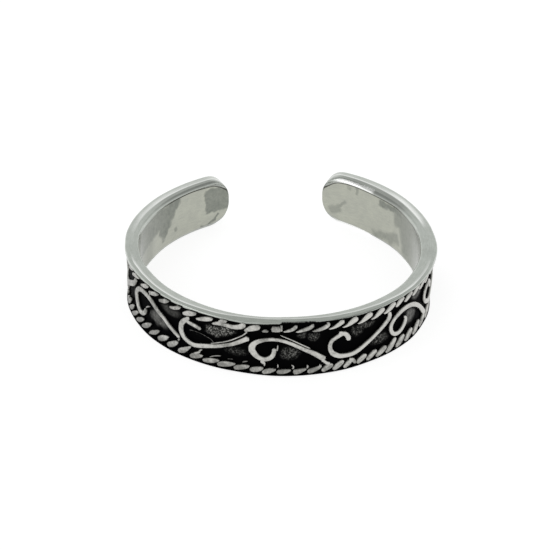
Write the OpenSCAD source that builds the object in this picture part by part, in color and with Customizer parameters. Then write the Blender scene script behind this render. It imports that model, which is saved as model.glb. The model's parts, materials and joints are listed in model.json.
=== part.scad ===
// Open toe ring in cast silver, lying on its side.
// The toe goes through along Z. The ornament faces -Y and the gap between the ends faces +Y.
// The origin is in the middle of the bore. Angles are counted from the front, towards +X.

/* [Band] */
// Inside diameter of the ring
bore_d = 16; // [13:0.5:20]
// Thickness of the plain shank
wall = 0.83; // [0.7:0.01:1.4]
// Height of the band along the toe
band_h = 3.2; // [2.8:0.1:5]
// Rounding of the rims
rim_r = 0.2; // [0.1:0.01:0.25]

/* [Ends] */
// Width left open between the two ends, measured inside the ring
gap_w = 5.9; // [4:0.1:8]
// Corner radius of the two ends
end_r = 1.2; // [0.5:0.05:1.3]

/* [Ornament] */
// Angle of the band that the ornament takes up in front
panel_angle = 196; // [150:1:200]
// How deep the background of the ornament lies under the shank
panel_depth = 0.22; // [0.1:0.01:0.3]
// How far the flat tops of the relief lie under the shank
relief_inset = 0.02; // [0:0.01:0.05]

/* [Scrolls] */
// How far the foot of a leg reaches past the edge of the next crook
scroll_nest = 0.2; // [0:0.01:0.25]
// Width of the scroll wire
wire_w = 0.34; // [0.25:0.01:0.4]
// Radius of the small curl that a scroll starts with
curl_r = 0.62; // [0.5:0.01:0.66]
// Radius of the crook that the curl opens into
crook_r = 0.84; // [0.75:0.01:0.9]
// Length of the level run between the crook and the bend into the leg
level_run = 0.3; // [0.1:0.05:0.5]
// Radius of the bend from the level run into the leg
shoulder_r = 2.2; // [1.8:0.1:2.6]
// Slope of the leg against the rims
leg_slope = 42; // [38:1:45]

/* [Ropes] */
// Distance of each rope's centre line from its rim
rope_inset = 0.3; // [0.28:0.01:0.4]
// Length of one strand of the rope
strand_l = 0.98; // [0.8:0.01:1.05]
// Width of one strand of the rope
strand_w = 0.35; // [0.25:0.01:0.36]
// Height of each rope, which its slanted strands fill
rope_w = 0.5; // [0.4:0.01:0.52]
// Distance from one strand of the upper rope to the next
upper_pitch = 0.88; // [0.85:0.01:1.1]
// Distance from one strand of the lower rope to the next
lower_pitch = 0.79; // [0.78:0.01:1.1]

/* [Hidden] */
$fn = 96;

bore_r = bore_d / 2;
shank_r = bore_r + wall;
floor_r = shank_r - panel_depth;
relief_r = shank_r - relief_inset;
// The relief is rooted this far under the background
root = 0.12;
root_r = floor_r - root;
// Cutters and prisms run past the metal by this much
clear = 0.5;
// The thinner front runs on into the plain arms by this angle
lap = 1;

// The corner of an end meets the rim at this angle, so it is lifted out past the rim
end_meet = 25;
end_lift = end_r * (1 - cos(end_meet));

half_panel = panel_angle / 2;
half_ring = 180 - asin(gap_w / 2 / bore_r);

rope_z = band_h / 2 - rope_inset;
strand_slant = asin(rope_w / strand_l);
// The crook and the rope next to it run into each other by this much
touch = 0.04;
// Centre line of the wire at the top of the crook
crook_top = rope_z - rope_w / 2 - wire_w / 2 + touch;
crook_z = crook_top - crook_r;
shoulder_x = level_run + shoulder_r * sin(leg_slope);
shoulder_z = crook_top - shoulder_r * (1 - cos(leg_slope));
// The leg runs down to the edge of the lower rope
leg_l = (shoulder_z + rope_z - rope_w / 2) / sin(leg_slope);
leg_x = shoulder_x + leg_l * cos(leg_slope);
// The scroll is centred between the left of its crook and the foot of its leg
scroll_shift = (crook_r - leg_x) / 2;
scroll_w = crook_r + wire_w / 2 + leg_x + wire_w / 2 * sin(leg_slope);
scroll_pitch = scroll_w - scroll_nest;
// The curl ends this far past its lowest point
curl_turn = 105;
// Straight runs and the tip are this much slimmer on each side, and run into the bends by `lap_in`
slim = 0.01;
lap_in = 0.05;
run_w = wire_w - 2 * slim;

// Angle at the shank's radius for a length along the band
function turn(along) = along / shank_r * 180 / PI;

// Angles of the copies of something, spread evenly over the ornament at a given pitch
function places(pitch) =
    let (count = floor(panel_angle / turn(pitch)))
    [for (i = [0 : count - 1]) (i - (count - 1) / 2) * turn(pitch)];

// Wall of the ring cut across, with rounded rims
module wall_section(outer_r) {
    corner = min(rim_r, (outer_r - bore_r) / 2 - 0.02);
    translate([bore_r + corner, -band_h / 2])
        square([outer_r - bore_r - 2 * corner, band_h]);
    translate([bore_r, corner - band_h / 2])
        square([outer_r - bore_r, band_h - 2 * corner]);
    for (x = [bore_r + corner, outer_r - corner], z = [corner - band_h / 2, band_h / 2 - corner])
        translate([x, z]) circle(r = corner);
}

// Part of the band from one angle to another
module band_sector(from, to, outer_r) {
    rotate([0, 0, from - 90])
        rotate_extrude(angle = to - from)
            wall_section(outer_r);
}

// Puts a drawing on the band at an angle and a height, and raises it outwards from the root
module on_band(angle, z) {
    rotate([0, 0, angle])
        translate([0, clear - root_r, z])
            rotate([90, 0, 0])
                linear_extrude(height = relief_r - root_r + 2 * clear)
                    children();
}

// What is cut off at one corner of an end, drawn with its corner at the origin
module corner_waste() {
    translate([-end_r, end_lift - end_r])
        difference() {
            square(end_r + clear);
            circle(r = end_r);
        }
}

// The bent strip: plain behind, thinner in front where the ornament lies
module shank() {
    color("silver") {
        band_sector(-half_panel - lap, half_panel + lap, floor_r);
        for (side = [0, 1])
            mirror([side, 0, 0])
                band_sector(half_panel, half_ring, shank_r);
    }
}

// One strand of a rope, a pointed leaf with its middle at the origin
module strand() {
    // Radius of the two arcs that meet in the leaf's points
    arc_r = (pow(strand_l / 2, 2) + pow(strand_w / 2, 2)) / strand_w;
    rotate(strand_slant)
        intersection() {
            translate([0, arc_r - strand_w / 2]) circle(r = arc_r);
            translate([0, strand_w / 2 - arc_r]) circle(r = arc_r);
        }
}

// A row of strands along one rim
module rope(z, pitch) {
    color("silver")
        for (angle = places(pitch))
            on_band(angle, z) strand();
}

// Part of a round of wire, from one angle to another
module wire_arc(x, z, r, from, to) {
    reach = 2 * r + wire_w;
    steps = 4;
    translate([x, z])
        intersection() {
            difference() {
                circle(r = r + wire_w / 2);
                circle(r = r - wire_w / 2);
            }
            polygon([
                [0, 0],
                for (i = [0 : steps])
                    let (a = from + (to - from) * i / steps) reach * [cos(a), sin(a)]
            ]);
        }
}

// One scroll: a curl, a wide crook over it and a leg down to the lower rope
module scroll_outline() {
    curl_x = curl_r - crook_r;
    translate([scroll_shift, 0]) {
        wire_arc(curl_x, crook_z, curl_r, 180, 270 + curl_turn);
        translate([curl_x + curl_r * sin(curl_turn), crook_z - curl_r * cos(curl_turn)])
            circle(d = run_w);
        wire_arc(0, crook_z, crook_r, 90, 180);
        translate([-lap_in, crook_top - run_w / 2]) square([level_run + 2 * lap_in, run_w]);
        wire_arc(level_run, crook_top - shoulder_r, shoulder_r, 90 - leg_slope, 90);
        translate([shoulder_x, shoulder_z])
            rotate(-leg_slope)
                translate([-lap_in, -run_w / 2]) square([leg_l + lap_in, run_w]);
    }
}

// The scrolls stand upside down and upright by turns
module scrolls() {
    angles = places(scroll_pitch);
    color("silver")
        for (i = [0 : len(angles) - 1])
            on_band(angles[i], 0)
                mirror([0, (i + 1) % 2]) scroll_outline();
}

// Flat-topped relief: everything raised is trimmed to one outer round
module relief() {
    intersection() {
        difference() {
            cylinder(r = relief_r, h = band_h + clear, center = true);
            cylinder(r = root_r, h = band_h + 2 * clear, center = true);
        }
        union() {
            rope(rope_z, upper_pitch);
            rope(-rope_z, lower_pitch);
            scrolls();
        }
    }
}

module toe_ring() {
    difference() {
        union() {
            shank();
            relief();
        }
        for (side = [0, 1], top = [0, 1])
            mirror([side, 0, 0])
                mirror([0, 0, top])
                    rotate([0, 0, half_ring])
                        translate([0, clear - root_r, band_h / 2])
                            rotate([90, 0, 0])
                                linear_extrude(height = wall + 3 * clear) corner_waste();
    }
}

toe_ring();
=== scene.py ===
"""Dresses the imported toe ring, a hand-bent band of cast silver with roped borders and scrolls."""
from __future__ import annotations

import json
import logging
import math
import random
from dataclasses import dataclass, field
from enum import Enum
from typing import Iterable, Sequence

import bmesh
import bpy
from mathutils import Matrix, Vector, kdtree, noise


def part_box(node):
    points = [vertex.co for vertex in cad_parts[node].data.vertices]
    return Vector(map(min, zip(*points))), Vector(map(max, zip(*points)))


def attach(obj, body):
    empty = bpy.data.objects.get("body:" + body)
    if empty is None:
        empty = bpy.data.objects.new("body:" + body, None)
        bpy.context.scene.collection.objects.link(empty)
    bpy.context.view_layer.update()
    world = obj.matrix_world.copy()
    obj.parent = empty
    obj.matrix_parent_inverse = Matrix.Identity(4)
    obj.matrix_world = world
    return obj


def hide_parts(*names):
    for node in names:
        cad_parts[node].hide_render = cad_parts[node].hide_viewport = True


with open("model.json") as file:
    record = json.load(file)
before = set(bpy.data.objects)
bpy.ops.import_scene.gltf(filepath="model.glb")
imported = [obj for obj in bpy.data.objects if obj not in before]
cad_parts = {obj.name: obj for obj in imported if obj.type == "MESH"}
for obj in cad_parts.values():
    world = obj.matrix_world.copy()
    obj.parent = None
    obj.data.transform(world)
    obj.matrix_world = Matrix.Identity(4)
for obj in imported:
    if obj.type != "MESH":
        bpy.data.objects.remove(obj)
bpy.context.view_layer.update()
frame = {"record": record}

logging.basicConfig(level=logging.INFO, format="%(name)s: %(message)s")
log = logging.getLogger("toe_ring")

MM = 0.001
NODE = "toe_ring"
BODY = "root"
PHOTO_PX = 550
FLAT = "flat"
OPEN = "open_floor"
OXIDE = "oxide_depth"
# Mesh attribute with the strength of the painted highlight on the rims' crest line
CREST_HIGHLIGHT = "crest"
Points = tuple[tuple[float, float], ...]


def smooth_step(value: float, low: float, high: float) -> float:
    """Eased share of the way from low to high, from 0 to 1."""
    share = min(1.0, max(0.0, (value - low) / (high - low)))
    return share * share * (3 - 2 * share)


@dataclass(frozen=True)
class Course:
    """A size that changes along the band, given at a few places and eased between them.

    Attributes:
        points: Pairs of a place, in degrees from the point nearest to the camera, and the size there.
    """

    points: Points

    def at(self, seen: float) -> float:
        """The size at a place in degrees."""
        for (start, low), (end, high) in zip(self.points, self.points[1:]):
            if seen <= end:
                return low + (high - low) * smooth_step(seen, start, end)
        return self.points[-1][1]


class Socket:
    """A shader value that takes part in Python arithmetic by adding Math nodes."""

    def __init__(self, shader: Shader, link: bpy.types.NodeSocket) -> None:
        """Wraps one output socket of a shader's tree."""
        self.shader = shader
        self.link = link

    def _math(self, operation: str, *others: Socket | float) -> Socket:
        """A Math node on this value and the others."""
        return self.shader.add("ShaderNodeMath", {"operation": operation}, dict(enumerate((self, *others))))

    def __add__(self, other: Socket | float) -> Socket:
        """self + other."""
        return self._math("ADD", other)

    __radd__ = __add__

    def __mul__(self, other: Socket | float) -> Socket:
        """self * other."""
        return self._math("MULTIPLY", other)

    __rmul__ = __mul__

    def __sub__(self, other: Socket | float) -> Socket:
        """self - other."""
        return self._math("SUBTRACT", other)

    def __rsub__(self, other: float) -> Socket:
        """other - self."""
        return self._math("MULTIPLY_ADD", -1.0, other)

    def __abs__(self) -> Socket:
        """Size of the value without its sign."""
        return self._math("ABSOLUTE")

    def step(self, low: float, high: float) -> Socket:
        """Eased mask that is 0 at low and 1 at high, and so falls where low is the larger."""
        settings = {"interpolation_type": "SMOOTHSTEP", "clamp": True}
        inputs = {"Value": self, "From Min": low, "From Max": high}
        return self.shader.add("ShaderNodeMapRange", settings, inputs)

    def larger(self, other: Socket | float) -> Socket:
        """The larger of two values."""
        return self._math("MAXIMUM", other)

    def root(self) -> Socket:
        """Square root of the value."""
        return self._math("SQRT")

    def smaller(self, other: Socket | float) -> Socket:
        """The smaller of two values."""
        return self._math("MINIMUM", other)


class Shader:
    """The node tree of one material or world."""

    def __init__(self, tree: bpy.types.NodeTree) -> None:
        """Starts from an empty tree."""
        tree.nodes.clear()
        self.tree = tree

    def add(
        self, kind: str, settings: dict | None = None, inputs: dict | None = None, output: int | str = 0
    ) -> Socket:
        """Adds a node.

        Args:
            kind: Type name of the node.
            settings: Properties, set first. A ramp's stops are given as ((position, colour), ...).
            inputs: Values or Sockets by the name or number of the node's input.
            output: Name or number of the output that is returned.

        Returns:
            The chosen output.
        """
        node = self.tree.nodes.new(kind)
        for name, value in (settings or {}).items():
            if name == "stops":
                self._set_stops(node.color_ramp, value)
            else:
                setattr(node, name, value)
        for name, value in (inputs or {}).items():
            if isinstance(value, Socket):
                self.tree.links.new(value.link, node.inputs[name])
            else:
                node.inputs[name].default_value = value
        return Socket(self, node.outputs[output])

    @staticmethod
    def _set_stops(ramp: bpy.types.ColorRamp, stops: Sequence[tuple[float, tuple]]) -> None:
        """Gives a ramp its stops."""
        while len(ramp.elements) > 1:
            ramp.elements.remove(ramp.elements[-1])
        for index, (place, colour) in enumerate(stops):
            element = ramp.elements[0] if index == 0 else ramp.elements.new(place)
            element.position = place
            element.color = (*colour, 1.0)

    def finish(self, surface: Socket, kind: str = "ShaderNodeOutputMaterial") -> None:
        """Links a shader to the output."""
        node = self.tree.nodes.new(kind)
        self.tree.links.new(surface.link, node.inputs["Surface"])

    def flat(self) -> Socket:
        """The place on the unbent strip in millimetres: along it, out from the bore, and up."""
        return self.add("ShaderNodeAttribute", {"attribute_name": FLAT}, output="Vector")

    def stored(self, name: str) -> Socket:
        """A number kept on the mesh."""
        return self.add("ShaderNodeAttribute", {"attribute_name": name}, output="Fac")

    def split(self, vector: Socket) -> tuple[Socket, Socket, Socket]:
        """X, Y and Z of a vector."""
        node = self.tree.nodes.new("ShaderNodeSeparateXYZ")
        self.tree.links.new(vector.link, node.inputs[0])
        return tuple(Socket(self, out) for out in node.outputs)

    def noise(self, vector: Socket, scale: float, detail: float = 3.0, roughness: float = 0.55) -> Socket:
        """Cloudy values around 0.5, at `scale` clouds to the unit."""
        inputs = {"Vector": vector, "Scale": scale, "Detail": detail, "Roughness": roughness}
        return self.add("ShaderNodeTexNoise", None, inputs, "Fac")

    def stretched(self, vector: Socket, scale: tuple[float, float, float]) -> Socket:
        """The vector with each axis scaled on its own."""
        return self.add("ShaderNodeMapping", None, {"Vector": vector, "Scale": scale})

    def blend(self, share: Socket, low: tuple | Socket, high: tuple | Socket) -> Socket:
        """A colour between two colours."""
        node = self.tree.nodes.new("ShaderNodeMix")
        node.data_type = "RGBA"
        self.tree.links.new(share.link, node.inputs["Factor"])
        for slot, colour in ((6, low), (7, high)):
            if isinstance(colour, Socket):
                self.tree.links.new(colour.link, node.inputs[slot])
            else:
                node.inputs[slot].default_value = (*colour, 1.0)
        return Socket(self, node.outputs[2])

    def bump(self, strength: float, depth: float, height: Socket) -> Socket:
        """A normal that makes the surface look rough, `depth` metres deep."""
        inputs = {"Strength": strength, "Distance": depth, "Height": height}
        return self.add("ShaderNodeBump", None, inputs, "Normal")

    def metal(self, colour: Socket, rough: Socket, normal: Socket) -> Socket:
        """Bare metal."""
        inputs = {"Base Color": colour, "Metallic": 1.0, "Roughness": rough, "Normal": normal}
        return self.add("ShaderNodeBsdfPrincipled", None, inputs)

    def mixed(self, share: Socket, low: Socket, high: Socket) -> Socket:
        """A surface between two surfaces."""
        return self.add("ShaderNodeMixShader", None, {0: share, 1: low, 2: high})


@dataclass(frozen=True)
class Tone:
    """A plain colour as linear red, green and blue."""

    red: float
    green: float
    blue: float

    def rgb(self) -> tuple[float, float, float]:
        """The three numbers together."""
        return self.red, self.green, self.blue

    def rgba(self) -> tuple[float, float, float, float]:
        """The colour with full alpha."""
        return self.red, self.green, self.blue, 1.0


@dataclass(frozen=True)
class Stain:
    """A dull patch on the inner wall, a slanted box with soft edges.

    Attributes:
        seen: Middle of the patch in degrees from the point nearest to the camera.
        height: Height of its middle, as a share of the outer radius.
        half_length: Half its length in millimetres.
        half_width: Half its width in millimetres.
        slant: Degrees that its length rises to the right.
        strength: How much it darkens, from 0 to 1.
        soft: Width of its edge in millimetres.
    """

    seen: float
    height: float
    half_length: float
    half_width: float
    slant: float = 0.0
    strength: float = 1.0
    soft: float = 0.12

    def mask(self, ring: Ring, along: Socket, up: Socket) -> Socket:
        """Where the patch lies, from 0 to its strength."""
        middle = ring.mark(self.seen, self.height) / MM
        turn = math.radians(self.slant)
        across, rise = along - middle.x, up - middle.y
        length = abs(across * math.cos(turn) + rise * math.sin(turn))
        width = abs(rise * math.cos(turn) - across * math.sin(turn))
        inside = length.step(self.half_length + self.soft, self.half_length)
        return inside * width.step(self.half_width + self.soft, self.half_width) * self.strength


@dataclass(frozen=True)
class Grain:
    """How fine the silver's noises are, in clouds to the millimetre.

    Attributes:
        coarse: The metal's grain.
        fine: Its finest specks.
        mottle: Dull spots on the wires.
        wire_clouds: Broad changes of the wires' tone.
        strip_clouds: Broad changes of the strip's tone.
        streaks: Scratches along the strip.
        streak_stretch: How much closer together the scratches lie across the strip than along it.
        ragged: Raggedness of the stains' edges.
        grit: Unevenness within the stains.
        speckle: Specks of the stippled background.
    """

    coarse: float = 9.0
    fine: float = 34.0
    mottle: float = 4.2
    wire_clouds: float = 0.8
    strip_clouds: float = 1.3
    streaks: float = 1.6
    streak_stretch: tuple[float, float, float] = (1.2, 16.0, 16.0)
    ragged: float = 1.7
    grit: float = 4.5
    speckle: float = 9.5


@dataclass(frozen=True)
class CastSilver:
    """Polished silver whose hollows are blackened with oxide.

    Places along, out and up on the strip are in millimetres, as in the flat places kept on the mesh. A pair
    of them says where an eased edge starts and where it ends.

    Attributes:
        bright: The strip at its brightest.
        worn: The strip where scratches dull it.
        relief_bright: The wires' tops at their brightest.
        relief_worn: The wires' tops at their dullest.
        rubbed: The background where wiping has bared it.
        inner_bright: The inner wall at its brightest.
        inner_worn: The inner wall where scratches dull it.
        stained: The inner wall's stains.
        painted_highlight: Painted highlight on crest lines and glints.
        seam: The line under the inner bevel.
        painted_rim_shade: Painted shade on the inner half of the arms' rims.
        black: The oxide.
        polish: Roughness of the strip.
        satin: Roughness of the wires.
        grain: How fine the noises are.
        wander: How far the oxide's edge wanders.
        wiped: How far under the wires' tops the oxide ends.
        wire_wear: Noise values between which the wires go from dull to bright.
        strip_wear: The same for the strip.
        low_dull: How much darker the lower rope is in places.
        right_light: How much lighter the wires are on the right.
        left_dull: How much darker they are on the left.
        stippled: Distance from the middle within which the rubbed background is speckled.
        glare: How strongly a painted glare brightens the inner bevel, by degrees from the point nearest to
            the camera.
        shade: How strongly painted shade darkens the inner half of the rims, by the same degrees.
        outer_shine: How strongly a painted highlight brightens the outer half of the rims, by the same
            degrees.
        stains: The stains of the inner wall.
    """

    bright: Tone = Tone(0.525, 0.552, 0.518)
    worn: Tone = Tone(0.415, 0.438, 0.405)
    relief_bright: Tone = Tone(0.56, 0.555, 0.525)
    relief_worn: Tone = Tone(0.20, 0.20, 0.186)
    rubbed: Tone = Tone(0.30, 0.30, 0.28)
    inner_bright: Tone = Tone(0.45, 0.46, 0.395)
    inner_worn: Tone = Tone(0.375, 0.385, 0.34)
    stained: Tone = Tone(0.118, 0.133, 0.120)
    painted_highlight: Tone = Tone(0.97, 0.975, 0.96)
    seam: Tone = Tone(0.06, 0.06, 0.052)
    painted_rim_shade: Tone = Tone(0.25, 0.254, 0.24)
    black: Tone = Tone(0.0009, 0.0009, 0.0011)
    polish: float = 0.2
    satin: float = 0.36
    grain: Grain = Grain()
    wander: float = 0.05
    wiped: tuple[float, float] = (-0.13, -0.05)
    wire_wear: tuple[float, float] = (0.36, 0.60)
    strip_wear: tuple[float, float] = (0.30, 0.72)
    low_dull: float = 0.11
    right_light: float = 0.06
    left_dull: float = 0.05
    stippled: tuple[float, float] = (6.6, 5.2)
    glare: Points = ((100, 0.0), (133.2, 0.0), (135.4, 1.0), (152.0, 0.9), (156.0, 0.0), (160, 0.0))
    shade: Points = (
        (-160, 0.35), (-125, 0.38), (-112, 0.0), (110, 0.0), (117, 0.6), (146, 0.45), (158, 0.25),
    )
    outer_shine: Points = (
        (-160, 0.0), (-140, 0.15), (-122, 0.5), (-108, 0.5), (-97, 0.1), (-90, 0.0), (97, 0.0), (105, 0.65),
        (121, 0.8), (133, 0.2), (148, 0.05), (160, 0.0),
    )
    stains: tuple[Stain, ...] = (
        Stain(-152.6, 0.035, 1.15, 0.76, strength=0.62, soft=0.17),
        Stain(-123.5, 0.06, 1.25, 0.36, slant=-51, strength=0.66, soft=0.27),
        Stain(-119.8, 0.08, 0.50, 0.58, strength=0.62, soft=0.27),
        Stain(-106.5, 0.075, 1.70, 0.70, slant=-10, strength=0.62, soft=0.36),
        Stain(-96.0, 0.0, 1.80, 1.60, strength=0.32, soft=0.96),
        Stain(-119.0, -0.055, 0.05, 0.40, strength=0.45, soft=0.17),
        Stain(-127.8, -0.076, 0.05, 0.04, strength=0.5, soft=0.17),
        Stain(-148.6, -0.122, 0.45, 0.02, slant=-38, strength=0.75, soft=0.15),
        Stain(-146.0, -0.158, 0.55, 0.02, slant=2, strength=0.65, soft=0.14),
        Stain(154.2, -0.068, 0.30, 0.14, slant=-24, strength=0.36, soft=0.27),
        Stain(151.0, -0.022, 0.36, 0.02, slant=-42, strength=0.4, soft=0.17),
        Stain(142.8, 0.125, 0.05, 0.16, slant=8, strength=0.4, soft=0.17),
        Stain(147.2, 0.132, 0.05, 0.06, strength=0.25, soft=0.20),
        Stain(121.5, 0.130, 1.15, 0.10, slant=-3, strength=0.68, soft=0.24),
        Stain(115.6, 0.080, 0.38, 0.34, strength=0.50, soft=0.37),
        Stain(119.5, -0.092, 0.50, 0.18, slant=-25, strength=0.4, soft=0.37),
        Stain(126.5, -0.120, 0.85, 0.08, slant=-14, strength=0.42, soft=0.34),
        Stain(104.0, 0.050, 1.35, 1.10, slant=-20, strength=0.54, soft=0.60),
        Stain(92.0, 0.0, 2.00, 1.60, strength=0.50, soft=0.84),
    )

    def relief(self, name: str, ring: Ring) -> bpy.types.Material:
        """The finish of the raised ornament: wiped tops on black feet.

        Args:
            name: Name of the material.
            ring: Sizes that the oxide's edges follow.

        Returns:
            The material.
        """
        shader, made = self._start(name)
        flat = shader.flat()
        along, out, up = shader.split(flat)
        grain = shader.noise(flat, self.grain.coarse)
        fine = shader.noise(flat, self.grain.fine, 2.0)
        mottle = shader.noise(flat, self.grain.mottle, 5.0, 0.62)
        clouds = shader.noise(flat, self.grain.wire_clouds, 3.0)
        top = (ring.floor_out + ring.relief) / MM
        bare = (out - top + self.wander * (grain - 0.5)).step(*self.wiped)
        low = self.low_dull * up.step(-0.9, -1.25) * clouds.step(0.40, 0.52)
        side = self.right_light * along.step(1.2, 3.4) - self.left_dull * along.step(-6.5, -9.5)
        blotches = 0.40 * clouds + 0.36 * mottle + 0.16 * grain + 0.08 * fine
        wear = (blotches - low + side).step(*self.wire_wear)
        colour = shader.blend(wear, self.relief_worn.rgb(), self.relief_bright.rgb())
        rough = self.satin + 0.2 * (mottle - 0.5) + 0.12 * (grain - 0.5)
        normal = shader.bump(0.5, 0.014 * MM, 0.6 * fine + 0.5 * grain + 0.5 * mottle)
        shader.finish(shader.mixed(bare, self._oxide(shader, fine), shader.metal(colour, rough, normal)))
        return made

    def band(self, name: str, ring: Ring) -> bpy.types.Material:
        """The finish of the strip: polish, stains inside, oxide behind the ornament, and painted highlights
        and painted shade on the rims.

        Args:
            name: Name of the material.
            ring: Sizes that the finish follows.

        Returns:
            The material.
        """
        shader, made = self._start(name)
        flat = shader.flat()
        along, out, up = shader.split(flat)
        grain = shader.noise(flat, self.grain.coarse)
        fine = shader.noise(flat, self.grain.fine, 2.0)
        clouds = shader.noise(flat, self.grain.strip_clouds, 4.0)
        stretched = shader.stretched(flat, self.grain.streak_stretch)
        streaks = shader.noise(stretched, self.grain.streaks, 4.0, 0.6)
        grit = shader.noise(flat, self.grain.grit, 3.0, 0.6)
        wear = (0.4 * clouds + 0.6 * streaks).step(*self.strip_wear)
        # How far a place lies inside the line under the inner bevel
        inset = self._inset(along, up, ring)
        past = inset - self._course(shader, along, ring, ring.seam_inset)

        colour = shader.blend(wear, self.worn.rgb(), self.bright.rgb())
        # Painted highlight along the rims' crest line
        colour = shader.blend(shader.stored(CREST_HIGHLIGHT), colour, self.painted_highlight.rgb())
        # Painted shade on the inner half of the arms' rims
        shade = self._course(shader, along, ring, self.shade) * out.step(0.43, 0.33)
        colour = shader.blend(shade, colour, self.painted_rim_shade.rgb())
        # Painted highlight on the outer half of the rims
        shine = self._course(shader, along, ring, self.outer_shine)
        shine = shine * out.step(0.40, 0.48) * out.step(0.86, 0.48)
        colour = shader.blend(shine, colour, self.painted_highlight.rgb())
        # Painted glare on the inner bevel, a painted highlight
        glare = self._course(shader, along, ring, self.glare) * out.step(0.12, 0.08)
        glare = glare * past.step(-0.02, -0.05) * (inset + 0.2 * (grain - 0.5)).step(0.0, 0.06)
        colour = shader.blend(glare, colour, self.painted_highlight.rgb())

        wall = shader.blend(wear, self.inner_worn.rgb(), self.inner_bright.rgb())
        unevenness = 0.24 + 0.8 * clouds + 0.72 * grit
        dull = (self._stained(shader, ring, flat) * unevenness).smaller(1.0)
        wall = shader.blend(dull, wall, self.stained.rgb())
        colour = shader.blend(out.step(0.14, 0.06) * past.step(-0.03, 0.01), colour, wall)
        line = abs(past).step(0.045, 0.016) * out.step(0.24, 0.18) * up.step(0.5, 0.8)
        line = line * self._course(shader, along, ring, ring.seam_points)
        colour = shader.blend(line, colour, self.seam.rgb())
        colour = shader.blend(shader.stored(OPEN).step(0.0, 0.05), colour, self.rubbed.rgb())

        rough = self.polish + 0.16 * (streaks - 0.5) + 0.10 * (grain - 0.5)
        normal = shader.bump(0.16, 0.012 * MM, 0.5 * fine + 0.35 * grain + 0.4 * streaks)
        speckle = shader.noise(shader.stretched(flat, (1.0, 0.4, 1.0)), self.grain.speckle, 3.0, 0.7)
        stippled = abs(along).step(*self.stippled)
        even = (1.0 - stippled) * (0.10 + 0.20 * grit.step(0.3, 0.7))
        rubbed = 0.05 + (0.16 + 0.66 * stippled) * speckle.step(0.46, 0.65) + even
        bare = (shader.stored(OXIDE) + self.wander * (grain - 0.5)).step(0.022, -0.022)
        bare = bare.larger(shader.stored(OPEN) * rubbed)
        shader.finish(shader.mixed(bare, self._oxide(shader, fine), shader.metal(colour, rough, normal)))
        return made

    @staticmethod
    def _start(name: str) -> tuple[Shader, bpy.types.Material]:
        """A new material and its tree."""
        made = bpy.data.materials.new(name)
        made.use_nodes = True
        return Shader(made.node_tree), made

    @staticmethod
    def _inset(along: Socket, up: Socket, ring: Ring) -> Socket:
        """How far a place lies inside the plate's outline, in millimetres."""
        left, right = ring.tips
        round_r = ring.end_r / MM
        half = (ring.half_length + (left + right) / 2) / MM
        across = (abs(along - (right - left) / 2 / MM) - (half - round_r)).larger(0.0)
        rise = (abs(up) - (ring.half_h / MM - round_r)).larger(0.0)
        return round_r - (across * across + rise * rise).root()

    def _stained(self, shader: Shader, ring: Ring, flat: Socket) -> Socket:
        """Where the stains lie, with ragged edges, from 0 to their strength."""
        along, _, up = shader.split(flat)
        ragged = shader.noise(shader.stretched(flat, (1.0, 0.0, 1.0)), self.grain.ragged, 5.0, 0.6)
        shift = 0.55 * (ragged - 0.5)
        along, up = along + shift, up + shift
        masks = [stain.mask(ring, along, up) for stain in self.stains]
        dull = masks[0]
        for mask in masks[1:]:
            dull = dull.larger(mask)
        return dull

    def _oxide(self, shader: Shader, fine: Socket) -> Socket:
        """The blackened hollows."""
        inputs = {
            "Base Color": self.black.rgba(),
            "Metallic": 0.0,
            "Specular IOR Level": 0.01,
            "Roughness": 0.5 + 0.2 * fine,
        }
        return shader.add("ShaderNodeBsdfPrincipled", None, inputs)

    @staticmethod
    def _course(shader: Shader, along: Socket, ring: Ring, points: Points) -> Socket:
        """A value that changes along the strip, as a ramp."""
        low, high = points[0][0], points[-1][0]
        start, end = ring.mark(low, 0).x / MM, ring.mark(high, 0).x / MM
        share = (along - start) * (1 / (end - start))
        stops = tuple(((seen - low) / (high - low), (value, value, value)) for seen, value in points)
        return shader.add("ShaderNodeValToRGB", {"stops": stops}, {"Fac": share}, "Color")


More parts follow.
